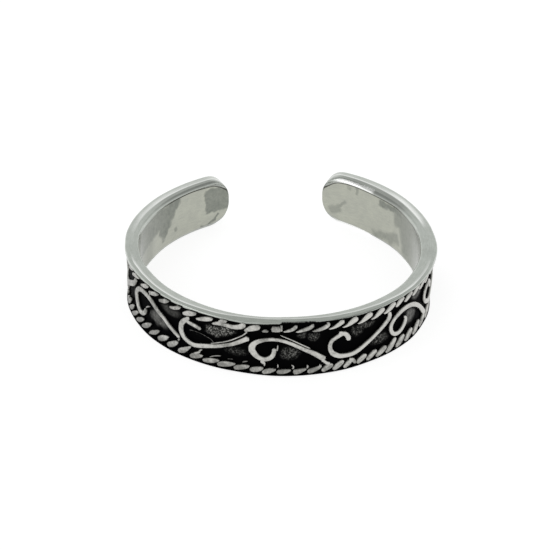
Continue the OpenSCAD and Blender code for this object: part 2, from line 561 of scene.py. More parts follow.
@dataclass(frozen=True)
class Ring:
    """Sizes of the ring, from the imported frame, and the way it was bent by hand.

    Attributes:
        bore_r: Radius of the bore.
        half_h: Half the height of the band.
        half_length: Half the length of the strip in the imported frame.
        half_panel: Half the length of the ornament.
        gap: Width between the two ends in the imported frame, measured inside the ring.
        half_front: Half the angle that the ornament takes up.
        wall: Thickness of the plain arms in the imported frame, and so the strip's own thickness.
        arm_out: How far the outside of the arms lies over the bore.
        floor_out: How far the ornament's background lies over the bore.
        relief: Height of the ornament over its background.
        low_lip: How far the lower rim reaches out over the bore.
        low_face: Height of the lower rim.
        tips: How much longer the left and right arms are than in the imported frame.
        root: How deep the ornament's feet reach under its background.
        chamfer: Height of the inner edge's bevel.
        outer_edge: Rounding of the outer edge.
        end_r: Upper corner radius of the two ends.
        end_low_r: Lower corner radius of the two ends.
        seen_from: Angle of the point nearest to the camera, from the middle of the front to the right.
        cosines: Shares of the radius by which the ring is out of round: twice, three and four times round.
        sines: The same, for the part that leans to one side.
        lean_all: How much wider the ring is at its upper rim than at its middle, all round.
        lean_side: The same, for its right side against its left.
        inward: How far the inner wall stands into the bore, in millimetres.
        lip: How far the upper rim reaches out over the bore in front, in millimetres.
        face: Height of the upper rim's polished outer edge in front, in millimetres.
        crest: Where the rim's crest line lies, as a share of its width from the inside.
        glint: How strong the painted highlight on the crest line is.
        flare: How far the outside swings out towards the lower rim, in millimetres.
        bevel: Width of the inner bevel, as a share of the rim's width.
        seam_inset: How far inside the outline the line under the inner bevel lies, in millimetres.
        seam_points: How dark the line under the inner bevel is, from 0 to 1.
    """

    bore_r: float
    half_h: float
    half_length: float
    half_panel: float
    gap: float = 5.9 * MM
    half_front: float = math.radians(98)
    wall: float = 0.83 * MM
    arm_out: float = 0.93 * MM
    floor_out: float = 0.615 * MM
    relief: float = 0.185 * MM
    low_lip: float = 0.83 * MM
    low_face: float = 0.08 * MM
    tips: tuple[float, float] = (0.06 * MM, -0.01 * MM)
    root: float = 0.12 * MM
    chamfer: float = 0.21 * MM
    outer_edge: float = 0.09 * MM
    end_r: float = 1.3 * MM
    end_low_r: float = 1.6 * MM
    seen_from: float = math.radians(-2.35)
    cosines: tuple[float, ...] = (-0.0078, -0.0011, -0.0024)
    sines: tuple[float, ...] = (0.0090, 0.0073, -0.0035)
    lean_all: float = -0.018
    lean_side: float = 0.033
    inward: Course = Course(
        ((-160, 0.05), (-112, 0.05), (-95, -0.08), (-80, -0.06), (-58, 0.06), (-38, 0.11), (-10, 0.05),
         (5, 0.11), (40, 0.11), (60, 0.05), (80, 0.0), (100, 0.0), (114, 0.06), (134, 0.2), (152, 0.1))
    )
    lip: Course = Course(
        ((-98, 0.93), (-88, 0.90), (-77, 0.85), (-68, 0.75), (-60, 0.69), (-48, 0.65), (-28, 0.63),
         (-20, 0.65), (-13, 0.69), (-7, 0.62), (-0.3, 0.55), (0.6, 0.48), (10, 0.5), (15, 0.57),
         (20, 0.6), (32, 0.65), (40, 0.67), (50, 0.72), (58, 0.79), (72, 0.88), (84, 0.97), (98, 0.93))
    )
    face: Course = Course(
        ((-90, 0.26), (-72, 0.22), (-56, 0.12), (-38, 0.14), (-28, 0.07), (-0.3, 0.05), (0.6, 0.0),
         (10, 0.0), (16, 0.03), (50, 0.06), (60, 0.12), (75, 0.24), (90, 0.26))
    )
    crest: Course = Course(
        ((-155, 0.47), (-112, 0.5), (-70, 0.72), (-45, 0.74), (-28, 0.6), (-11, 0.32), (7, 0.42),
         (23, 0.5), (32, 0.58), (41, 0.68), (52, 0.78), (75, 0.75), (112, 0.52), (150, 0.55))
    )
    glint: Course = Course(
        ((-158, 0.5), (-150, 0.8), (-122, 0.8), (-109, 0.1), (-95, 0.0), (-82, 0.0), (-71, 1.0),
         (-50, 1.0), (-30, 0.9), (-11, 0.7), (7, 0.7), (30, 0.75), (54, 1.0), (66, 0.5), (78, 0.0),
         (98, 0.0), (107, 1.0), (150, 0.9), (158, 0.5))
    )
    flare: Course = Course(
        ((-110, -0.03), (-92, -0.07), (-75, 0.05), (-55, 0.08), (-32, 0.05), (-18, 0.06), (0, 0.16),
         (22, 0.15), (32, 0.09), (52, 0.1), (66, 0.02), (86, -0.13), (110, -0.05))
    )
    bevel: Course = Course(
        ((-150, 0.2), (-105, 0.16), (-85, 0.08), (-30, 0.1), (30, 0.1), (85, 0.08), (110, 0.16),
         (150, 0.24))
    )
    seam_inset: Points = (
        (-160, 0.0), (-155.8, 0.0), (-154, 0.18), (-151, 0.30), (-147, 0.27), (-138, 0.21), (135, 0.21),
        (148, 0.23), (152, 0.27), (155, 0.31), (157.5, 0.26), (159.8, 0.04), (162, 0.0),
    )
    seam_points: Points = (
        (-160, 1.0), (-125, 0.85), (-118, 0.1), (-101, 0.1), (-96, 0.8), (-80, 0.7), (-60, 0.1),
        (60, 0.1), (80, 0.8), (101, 0.9), (106, 0.2), (114, 0.55), (135, 0.3), (149, 0.8), (162, 1.0),
    )

    @classmethod
    def from_frame(cls) -> Ring:
        """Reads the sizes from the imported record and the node's box."""
        mounts = {mount["name"]: mount for mount in frame["record"]["mounts"]}
        bore_r = mounts["toe_bore"]["dims"]["r_mm"] * MM
        _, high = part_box(NODE)
        half_ring = math.pi - math.asin(cls.gap / 2 / bore_r)
        outer_r = bore_r + cls.wall
        return cls(bore_r, high.z, half_ring * outer_r, cls.half_front * outer_r)

    @property
    def outer_r(self) -> float:
        """Radius of the arms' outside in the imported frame, at which lengths along the strip are true."""
        return self.bore_r + self.wall

    def bent(self, along: float, out: float, up: float) -> Vector:
        """Place on the bent ring.

        Args:
            along: Distance along the strip from the middle of the front, to the right.
            out: Distance out from the bore.
            up: Height over the middle of the band.

        Returns:
            The place in the frame's metres.
        """
        angle = along / self.outer_r
        seen = angle - self.seen_from
        shape = 1.0
        for order, (cosine, sine) in enumerate(zip(self.cosines, self.sines), start=2):
            shape += cosine * math.cos(order * seen) + sine * math.sin(order * seen)
        lean = 1 + (self.lean_all + self.lean_side * math.sin(seen)) * up / self.outer_r
        out += self.swing(along, up) * smooth_step(out, 0.3 * self.wall, 0.7 * self.wall)
        radius = (self.outer_r * shape - self.wall + out) * lean
        return Vector((radius * math.sin(angle), -radius * math.cos(angle), up))

    def swing(self, along: float, up: float) -> float:
        """How far the outside swings out at a place on the strip."""
        return self.flare.at(self.seen(along)) * MM * smooth_step(-up, 0.0, self.half_h)

    def mark(self, seen: float, height: float, width: float = 0.0) -> Vector:
        """Flat place of a mark seen in the photo.

        Args:
            seen: Degrees round the ring from the point nearest to the camera, to the right.
            height: Height as a share of the outer radius.
            width: A width in millimetres.

        Returns:
            Distance along the strip, height and width, as X, Y and Z.
        """
        angle = math.radians(seen) + self.seen_from
        return Vector((angle * self.outer_r, height * self.outer_r, width * MM))

    def outline(self, along: float, up: float) -> tuple[float, Vector]:
        """How far a place lies inside the plate's outline, and the way out."""
        left, right = self.tips
        round_r = self.end_r if up > 0 else self.end_low_r
        middle, half = (right - left) / 2, self.half_length + (left + right) / 2
        across = max(0.0, abs(along - middle) - half + round_r)
        past = Vector((across, max(0.0, abs(up) - self.half_h + round_r)))
        if past.length < 1e-9:
            return round_r, Vector((0.0, 0.0))
        way = past.normalized()
        return round_r - past.length, Vector((math.copysign(way.x, along), math.copysign(way.y, up)))

    def seen(self, along: float) -> float:
        """Degrees from the point nearest to the camera, for a distance along the strip."""
        return math.degrees(along / self.outer_r - self.seen_from)


def bend_and_show(
    bm: bmesh.types.BMesh, name: str, ring: Ring, material: bpy.types.Material
) -> bpy.types.Object:
    """Bends a flat mesh into the ring, keeps its flat places, and makes it a piece of the model.

    Args:
        bm: Mesh with X along the strip, Y out from the bore and Z up.
        name: Name of the piece.
        ring: The bend.
        material: The finish.

    Returns:
        The new piece, riding on the ring's body.
    """
    layer = bm.verts.layers.float_vector.new(FLAT)
    for vert in bm.verts:
        vert[layer] = vert.co / MM
        vert.co = ring.bent(*vert.co)
    bmesh.ops.recalc_face_normals(bm, faces=bm.faces)
    for face in bm.faces:
        face.smooth = True
    mesh = bpy.data.meshes.new(name)
    bm.to_mesh(mesh)
    bm.free()
    piece = bpy.data.objects.new(name, mesh)
    bpy.context.scene.collection.objects.link(piece)
    piece.data.materials.append(material)
    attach(piece, BODY)
    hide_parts(NODE)
    log.info("%s: %d faces", name, len(mesh.polygons))
    return piece


def smooth_route(marks: Sequence[Vector], spacing: float) -> list[Vector]:
    """Evenly spaced points on a smooth line through some marks.

    Args:
        marks: Two or more places that the line passes through.
        spacing: Distance between the points, nearly.

    Returns:
        The points, from the first mark to the last.
    """
    padded = [2 * marks[0] - marks[1], *marks, 2 * marks[-1] - marks[-2]]
    dense = []
    for before, start, end, after in zip(padded, padded[1:], padded[2:], padded[3:]):
        steps = max(2, math.ceil((end - start).length / spacing * 2))
        for step in range(steps):
            t = step / steps
            lean_in, lean_out = (end - before) / 2, (after - start) / 2
            to_start, to_end = 2 * t**3 - 3 * t**2 + 1, 3 * t**2 - 2 * t**3
            to_lean_in, to_lean_out = t**3 - 2 * t**2 + t, t**3 - t**2
            dense.append(to_start * start + to_lean_in * lean_in + to_end * end + to_lean_out * lean_out)
    dense.append(marks[-1].copy())
    length = sum((b - a).length for a, b in zip(dense, dense[1:]))
    count = max(3, round(length / spacing))
    route, walked, place = [dense[0]], 0.0, 1
    for step in range(1, count):
        target = length * step / count
        while walked + (dense[place] - dense[place - 1]).length < target:
            walked += (dense[place] - dense[place - 1]).length
            place += 1
        share = (target - walked) / max(1e-9, (dense[place] - dense[place - 1]).length)
        route.append(dense[place - 1].lerp(dense[place], share))
    return [*route, dense[-1]]


class Tip(Enum):
    """How a wire ends: the length of its tip, in half widths."""

    ROUND = 0.9
    BLUNT = 0.25
    SQUARE = 0.08


@dataclass(frozen=True)
class Wire:
    """One raised wire of the ornament.

    Attributes:
        marks: Points on its middle line: degrees from the point nearest to the camera, height as a share
            of the outer radius, and the wire's width there in millimetres.
        start: How it begins.
        end: How it ends.
        sink: How far its top lies under the other wires' tops.
    """

    marks: tuple[tuple[float, float, float], ...]
    start: Tip = Tip.ROUND
    end: Tip = Tip.ROUND
    sink: float = 0.0


@dataclass(frozen=True)
class Sweep:
    """Draws a rounded wire along a route on the strip.

    Attributes:
        ring: Sizes of the strip.
        spacing: Distance between the sections of a wire.
        around: Sides of a section.
        squareness: 2 for a round section, more for a squarer one.
        trim: How far the wires stay inside the rims.
        slim: Share of a wire's measured width that is built.
        thinnest: Half width under which no wire goes.
        pointed: Share of a wire's half width that is left at its very tip.
        tip_drop: How far the top comes down at a tip.
        thin_drop: How far the top of a hair-thin wire lies under the others.
        thin_halves: Half widths between which a wire stops being hair-thin.
        least_face: The least that the wires stay under the upper rim, in millimetres.
        sight: Slope of the view in the photo, by which tops that lie higher seem to lie lower.
        front: Angles between which marks stop being moved for the wires' own radius.
    """

    ring: Ring
    spacing: float = 0.07 * MM
    around: int = 20
    squareness: float = 4.2
    trim: float = 0.015 * MM
    slim: float = 0.96
    thinnest: float = 0.02 * MM
    pointed: float = 0.12
    tip_drop: float = 0.05 * MM
    thin_drop: float = 0.03 * MM
    thin_halves: tuple[float, float] = (0.02 * MM, 0.1 * MM)
    least_face: float = 0.045
    sight: float = 0.64
    front: tuple[float, float] = (math.radians(50), math.radians(75))

    def wire(self, bm: bmesh.types.BMesh, wire: Wire) -> list[Vector]:
        """Adds one wire of the ornament and returns its route."""
        route = smooth_route([self.ring.mark(*mark) for mark in wire.marks], self.spacing)
        for point in route:
            self._set_back(point)
        walked = [0.0]
        for a, b in zip(route, route[1:]):
            walked.append(walked[-1] + (b - a).length)
        length = walked[-1]
        halves, tops = [], []
        top = self.ring.floor_out + self.ring.relief - wire.sink
        for place, point in zip(walked, route):
            half = max(self.thinnest, point.z / 2 * self.slim)
            shrink = 1.0
            for distance, tip in ((place, wire.start), (length - place, wire.end)):
                t = min(1.0, distance / (half * tip.value))
                shrink *= max(self.pointed, math.sqrt(1 - (1 - t) ** 2))
            halves.append(half * shrink)
            thin = 1 - smooth_step(half, *self.thin_halves)
            tops.append(top - self.tip_drop * (1 - shrink) - self.thin_drop * thin)
        self._extrude(bm, route, halves, tops)
        return route

    def _set_back(self, point: Vector) -> None:
        """Moves a mark, measured at the arms' radius, to where it seems to be at the wires' own radius."""
        ring = self.ring
        over = ring.floor_out + ring.relief + ring.swing(point.x, point.y) - ring.wall
        angle = point.x / ring.outer_r - ring.seen_from
        over *= 1 - smooth_step(abs(angle), *self.front)
        moved = angle
        if abs(angle) < self.front[1]:
            moved = math.asin(math.sin(angle) / (1 + over / ring.outer_r))
        point.y += ((ring.outer_r + over) * math.cos(moved) - ring.outer_r * math.cos(angle)) * self.sight
        point.x = (moved + ring.seen_from) * ring.outer_r

    def _extrude(
        self, bm: bmesh.types.BMesh, route: Sequence[Vector], halves: Sequence[float], tops: Sequence[float]
    ) -> None:
        """Extrudes a section along a route and closes both ends.

        Args:
            bm: Mesh that the wire is added to.
            route: Points along the strip and up.
            halves: Half width of the wire at each point.
            tops: Height of its top over the bore at each point.
        """
        ring = bmesh.ops.create_circle(bm, cap_ends=False, segments=self.around, radius=1.0)["verts"]
        power = 2 / self.squareness
        for vert in ring:
            across = math.copysign(abs(vert.co.x) ** power, vert.co.x)
            rise = math.copysign(abs(vert.co.y) ** power, vert.co.y)
            # A little wider at the foot than at the top
            vert.co = (across * (1.04 - 0.05 * (rise + 1)), rise, 0)
        edges = list({edge for vert in ring for edge in vert.link_edges})
        frames = [self._frame(route, i, halves[i], tops[i]) for i in range(len(route))]
        made = list(ring)
        bmesh.ops.transform(bm, matrix=frames[0], verts=ring)
        bmesh.ops.contextual_create(bm, geom=edges)
        for before, after in zip(frames, frames[1:]):
            grown = bmesh.ops.extrude_edge_only(bm, edges=edges)["geom"]
            verts = [part for part in grown if isinstance(part, bmesh.types.BMVert)]
            edges = [part for part in grown if isinstance(part, bmesh.types.BMEdge)]
            bmesh.ops.transform(bm, matrix=after @ before.inverted(), verts=verts)
            made += verts
        bmesh.ops.contextual_create(bm, geom=edges)
        for vert in made:
            face = max(self.least_face, self.ring.face.at(self.ring.seen(vert.co.x))) * MM
            vert.co.z = max(self.trim - self.ring.half_h, min(self.ring.half_h - face, vert.co.z))

    def _frame(self, route: Sequence[Vector], index: int, half_width: float, top: float) -> Matrix:
        """Where the unit section goes at one point of the route."""
        ahead = (route[min(index + 1, len(route) - 1)] - route[max(index - 1, 0)]).xy
        ahead.normalize()
        base = self.ring.floor_out - self.ring.root
        middle, half = (top + base) / 2, (top - base) / 2
        place = route[index]
        return Matrix(
            (
                (-ahead.y * half_width, 0, ahead.x, place.x),
                (0, half, 0, middle),
                (ahead.x * half_width, 0, ahead.y, place.y),
                (0, 0, 0, 1),
            )
        )


@dataclass(frozen=True)
class Patch:
    """A part of the background that wiping has rubbed grey.

    Attributes:
        seen: Its middle in degrees from the point nearest to the camera.
        height: Height of its middle, as a share of the outer radius.
        half_angle: Half its length in degrees.
        half_height: Half its height, as a share of the outer radius.
        strength: How far it is rubbed, from 0 to 1.
    """

    seen: float
    height: float
    half_angle: float
    half_height: float
    strength: float

    def at(self, seen: float, height: float) -> float:
        """How far the background is rubbed at a place."""
        x = (seen - self.seen) / self.half_angle
        y = (height - self.height) / self.half_height
        return self.strength * (1 - smooth_step(math.hypot(x, y), 0.45, 1.15))


@dataclass
class Band:
    """The bent strip: polished arms, a thinner front with a stippled floor, and worn rims.

    Attributes:
        ring: Sizes of the strip.
        routes: Points on the wires' middle lines, near which the background stays black.
        fine: Spacing of the cuts in front.
        coarse: Spacing of the cuts on the plain arms and inside.
        end_segments: Segments of an end's rounded corner.
        edge_segments: Segments of the rounded outer edge.
        crest_half: Half width of a rim's crest line.
        crest_drop: How fast a rim falls away outside its crest, in front and on the arms.
        crest_rise: How fast it falls away inside its crest.
        plain_ridge: Share of that fall where the crest has no glint.
        end_thin: How far the inner bevel is drawn out at the ends, from 0 to 1.
        crisp: Distance of the last cuts from the bevels.
        stipple: Depth of the floor's stippling.
        stipple_grain: Fineness of the stippling, in bumps to the millimetre.
        wave: Depth of the slight waves left by the hand that bent the strip.
        step: Half the width of the step between the front and the arms.
        lip_step: Where the upper lip starts and ends, under the rim.
        foot_step: Height of the lower lip's slope.
        near_wire: Distances from a wire between which the background starts to be rubbed.
        oxide_root: Share of the wall under which no oxide lies.
        patches: Parts of the background that are rubbed grey.
    """

    ring: Ring
    routes: list[Vector] = field(default_factory=list)
    fine: float = 0.05 * MM
    coarse: float = 0.2 * MM
    end_segments: int = 16
    edge_segments: int = 4
    crest_half: float = 0.06 * MM
    crest_drop: tuple[float, float] = (0.08, 0.06)
    crest_rise: float = 0.075
    plain_ridge: float = 0.35
    end_thin: float = 0.75
    crisp: float = 0.02 * MM
    stipple: float = 0.016 * MM
    stipple_grain: float = 14
    wave: float = 0.006 * MM
    step: float = 0.05 * MM
    lip_step: tuple[float, float] = (0.06 * MM, 0.01 * MM)
    foot_step: float = 0.05 * MM
    near_wire: tuple[float, float] = (0.17 * MM, 0.36 * MM)
    oxide_root: float = 0.7
    patches: tuple[Patch, ...] = (
        Patch(-72, 0.1, 2.5, 0.04, 0.5),
        Patch(-71.5, -0.03, 2.5, 0.04, 0.5),
        Patch(-57, -0.01, 3.5, 0.05, 0.45),
        Patch(-52, -0.022, 6.5, 0.06, 1.0),
        Patch(-45, 0.095, 5.5, 0.04, 0.5),
        Patch(-24.8, 0.068, 4.5, 0.045, 1.0),
        Patch(-20.6, 0.09, 4.5, 0.045, 1.0),
        Patch(-27.2, 0.052, 2.8, 0.026, 0.9),
        Patch(-31.0, 0.022, 3.5, 0.022, 0.35),
        Patch(-16.5, -0.045, 4.5, 0.03, 0.26),
        Patch(3.0, -0.03, 4.0, 0.046, 0.46),
        Patch(7.5, 0.1, 1.8, 0.03, 0.42),
        Patch(11.8, 0.085, 2.2, 0.04, 0.6),
        Patch(28.2, 0.075, 2.6, 0.055, 0.5),
        Patch(32.5, 0.09, 3.0, 0.03, 0.4),
        Patch(38, -0.06, 4.5, 0.035, 0.5),
        Patch(54.5, -0.022, 4.4, 0.06, 1.15),
        Patch(59, 0.09, 4.0, 0.04, 1.0),
    )

    def build(self, material: bpy.types.Material) -> bpy.types.Object:
        """Makes the band and dresses it."""
        bm = bmesh.new()
        self._plate(bm)
        self._slice(bm)
        self._mark_finish(bm)
        self._shape(bm)
        return bend_and_show(bm, "band", self.ring, material)

    def _plate(self, bm: bmesh.types.BMesh) -> None:
        """A flat plate with round-cornered ends, a bevelled inner edge and a rounded outer edge."""
        ring = self.ring
        bmesh.ops.create_cube(bm, size=1.0)
        left, right = ring.tips
        size = (2 * ring.half_length + left + right, ring.wall, 2 * ring.half_h)
        bmesh.ops.scale(bm, vec=size, verts=bm.verts)
        bmesh.ops.translate(bm, vec=((right - left) / 2, ring.wall / 2, 0), verts=bm.verts)
        for side, round_r in ((1, ring.end_r), (-1, ring.end_low_r)):
            corners = [
                edge
                for edge in bm.edges
                if abs((edge.verts[0].co - edge.verts[1].co).y) > ring.wall / 2
                and edge.verts[0].co.z * side > 0.99 * ring.half_h
            ]
            self._bevel(bm, corners, round_r, self.end_segments)
        self._bevel(bm, self._rim(bm, -1), ring.chamfer, 2)
        self._bevel(bm, self._rim(bm, 1), ring.outer_edge, self.edge_segments)

    @staticmethod
    def _rim(bm: bmesh.types.BMesh, side: int) -> list[bmesh.types.BMEdge]:
        """Edges round the outer face (1) or the inner face (-1)."""
        bm.normal_update()
        return [
            edge
            for edge in bm.edges
            if sum(face.normal.y * side > 0.999 for face in edge.link_faces) == 1
        ]

    @staticmethod
    def _bevel(bm: bmesh.types.BMesh, edges: list, offset: float, segments: int) -> None:
        """Rounds some edges."""
        bmesh.ops.bevel(
            bm, geom=edges, offset=offset, segments=segments, profile=0.5, affect="EDGES", material=-1
        )

    def _slice(self, bm: bmesh.types.BMesh) -> None:
        """Cuts the plate into fine columns and rows, and the rims along their crest."""
        ring = self.ring
        flat_half = ring.half_length - ring.chamfer / 2
        self._cuts(bm, 0, self._places(-flat_half, -ring.half_panel - self.coarse, self.coarse), 0)
        edge = ring.half_panel + self.coarse
        self._cuts(bm, 0, self._places(-edge, edge, self.fine), 0)
        self._cuts(bm, 0, self._places(edge + self.coarse, flat_half, self.coarse), 0)
        inside = ring.half_h - ring.outer_edge
        self._cuts(bm, 2, self._places(-inside, inside, self.fine)[1:-1], 1)
        inside = ring.half_h - ring.chamfer
        between = self._places(-inside, inside, self.coarse)[1:-1]
        self._cuts(bm, 2, [-inside + self.fine, *between, inside - self.fine], -1)
        middle = ring.wall / 2
        rim = [face for face in bm.faces if abs(face.normal.y) < 0.01]
        crest = [middle - self.crest_half, middle, middle + self.crest_half]
        edges = [ring.chamfer + self.crisp, *crest, ring.wall - ring.outer_edge - self.crisp]
        self._cuts(bm, 1, edges, 0, rim)

    @staticmethod
    def _places(start: float, end: float, spacing: float) -> list[float]:
        """Even places from start to end, about spacing apart."""
        count = max(1, round((end - start) / spacing))
        return [start + (end - start) * i / count for i in range(count + 1)]

    def _cuts(
        self,
        bm: bmesh.types.BMesh,
        axis: int,
        places: Iterable[float],
        side: int,
        faces: list | None = None,
    ) -> None:
        """Cuts the mesh by planes across one axis.

        Args:
            bm: The plate.
            axis: 0 cuts across the strip's length, 1 across its thickness, 2 across its height.
            places: Where to cut, from low to high.
            side: 1 cuts the outer face alone, -1 the inner face, 0 every face or the given ones.
            faces: The faces to cut.
        """
        normal = Vector((0, 0, 0))
        normal[axis] = 1
        bm.normal_update()
        if side:
            faces = [face for face in bm.faces if face.normal.y * side > 0.999]
        elif faces is None:
            faces = list(bm.faces)
        geom = [*{v for f in faces for v in f.verts}, *{e for f in faces for e in f.edges}, *faces]

        def reach(part: bmesh.types.BMVert | bmesh.types.BMEdge | bmesh.types.BMFace) -> float:
            """Highest place of a vertex, edge or face on the axis."""
            if isinstance(part, bmesh.types.BMVert):
                return part.co[axis]
            return max(vert.co[axis] for vert in part.verts)

        for place in places:
            cut = bmesh.ops.bisect_plane(bm, geom=geom, dist=1e-8, plane_co=normal * place, plane_no=normal)
            geom = [part for part in cut["geom"] if reach(part) > place + 1e-7]

    def _front(self, along: float) -> float:
        """1 where the ornament lies and 0 on the plain arms."""
        end = self.ring.half_panel
        return 1 - smooth_step(abs(along), end - self.step, end + self.step)

    def _mark_finish(self, bm: bmesh.types.BMesh) -> None:
        """Stores how far inside the oxide a place lies, how far it is rubbed bare, and how strong the
        painted highlight on the rims' crest line is.
        """
        ring = self.ring
        layers = {name: bm.verts.layers.float.new(name) for name in (OPEN, OXIDE, CREST_HIGHLIGHT)}
        tree = kdtree.KDTree(len(self.routes))
        for index, place in enumerate(self.routes):
            tree.insert((place.x, place.y, 0), index)
        tree.balance()
        for vert in bm.verts:
            along, out, up = vert.co
            seen = ring.seen(along)
            rim = ring.half_h - ring.face.at(seen) * MM
            depth = min(rim - up, ring.half_panel - abs(along), 2 * (out - self.oxide_root * ring.wall))
            vert[layers[OXIDE]] = depth / MM
            _, _, distance = tree.find((along, up, 0))
            rubbed = max(patch.at(seen, up / ring.outer_r) for patch in self.patches)
            vert[layers[OPEN]] = rubbed * smooth_step(distance, *self.near_wire) if depth > 0 else 0.0
            # The rims' crest line gets a painted highlight as strong as the glint course
            middle = abs(out - ring.wall / 2) < self.crest_half / 2
            vert[layers[CREST_HIGHLIGHT]] = ring.glint.at(seen) if middle and up > 0 else 0.0

    def _shape(self, bm: bmesh.types.BMesh) -> None:
        """Gives the strip its thickness, thins the front, stipples its floor and wears the rims."""
        ring = self.ring
        self._thin_end_bevels(bm)
        for vert in bm.verts:
            along, out, up = vert.co
            seen = ring.seen(along)
            here = Vector((along, out, up)) / MM
            front = self._front(along)
            rim = ring.half_h - ring.face.at(seen) * MM
            lip = smooth_step(up, rim - self.lip_step[0], rim - self.lip_step[1])
            floor = ring.floor_out + (ring.lip.at(seen) * MM - ring.floor_out) * lip
            low_rim = ring.half_h - ring.low_face
            foot = smooth_step(-up, low_rim - self.foot_step, low_rim)
            floor += (ring.low_lip - ring.floor_out) * foot
            outer = ring.arm_out + (floor - ring.arm_out) * front
            inner = -ring.inward.at(seen) * MM
            share = self._share(out / ring.wall, ring.bevel.at(seen), ring.crest.at(seen))
            vert.co.y = inner + (outer - inner) * share
            sunk = smooth_step(out, ring.wall * 0.8, ring.wall) * front * (1 - lip)
            sunk *= smooth_step(up, -ring.half_h + 0.1 * MM, -ring.half_h + 0.3 * MM)
            vert.co.y += self.stipple * sunk * noise.noise(here * self.stipple_grain)
            vert.co.y += self.wave * noise.noise(Vector((here.x * 0.7, out / ring.wall * 3, here.z * 0.5)))
            past = max(0.0, share - ring.crest.at(seen)) * (outer - inner)
            short = max(0.0, ring.crest.at(seen) - share) * (outer - inner)
            edge = smooth_step(abs(up), ring.half_h - 0.15 * MM, ring.half_h)
            drop = self.crest_drop[1] + (self.crest_drop[0] - self.crest_drop[1]) * front
            ridge = self.plain_ridge + (1 - self.plain_ridge) * ring.glint.at(seen)
            vert.co.z -= math.copysign((drop * past + self.crest_rise * short) * edge * ridge, up)
            vert.co.z += self.wave * noise.noise(Vector((here.x * 0.6, 3.0, here.z * 2.0)))

    def _thin_end_bevels(self, bm: bmesh.types.BMesh) -> None:
        """Draws the inner bevel out to the outline at both ends, so that the inner wall runs on to them."""
        ring = self.ring
        for vert in bm.verts:
            along, out, up = vert.co
            inset, way = ring.outline(along, up)
            if inset > ring.chamfer * 1.05 or out > ring.chamfer * 1.001:
                continue
            thin = self.end_thin * smooth_step(abs(way.x), 0.35, 0.8)
            vert.co.x += way.x * inset * thin
            vert.co.z += way.y * inset * thin
            vert.co.y *= 1 - thin

    def _share(self, share: float, bevel: float, crest: float) -> float:
        """Moves the inner bevel and the crest of a rim to their places across it."""
        start = self.ring.chamfer / self.ring.wall
        if share < start:
            return share / start * bevel
        if share < 0.5:
            return bevel + (share - start) / (0.5 - start) * (crest - bevel)
        return crest + (share - 0.5) * 2 * (1 - crest)


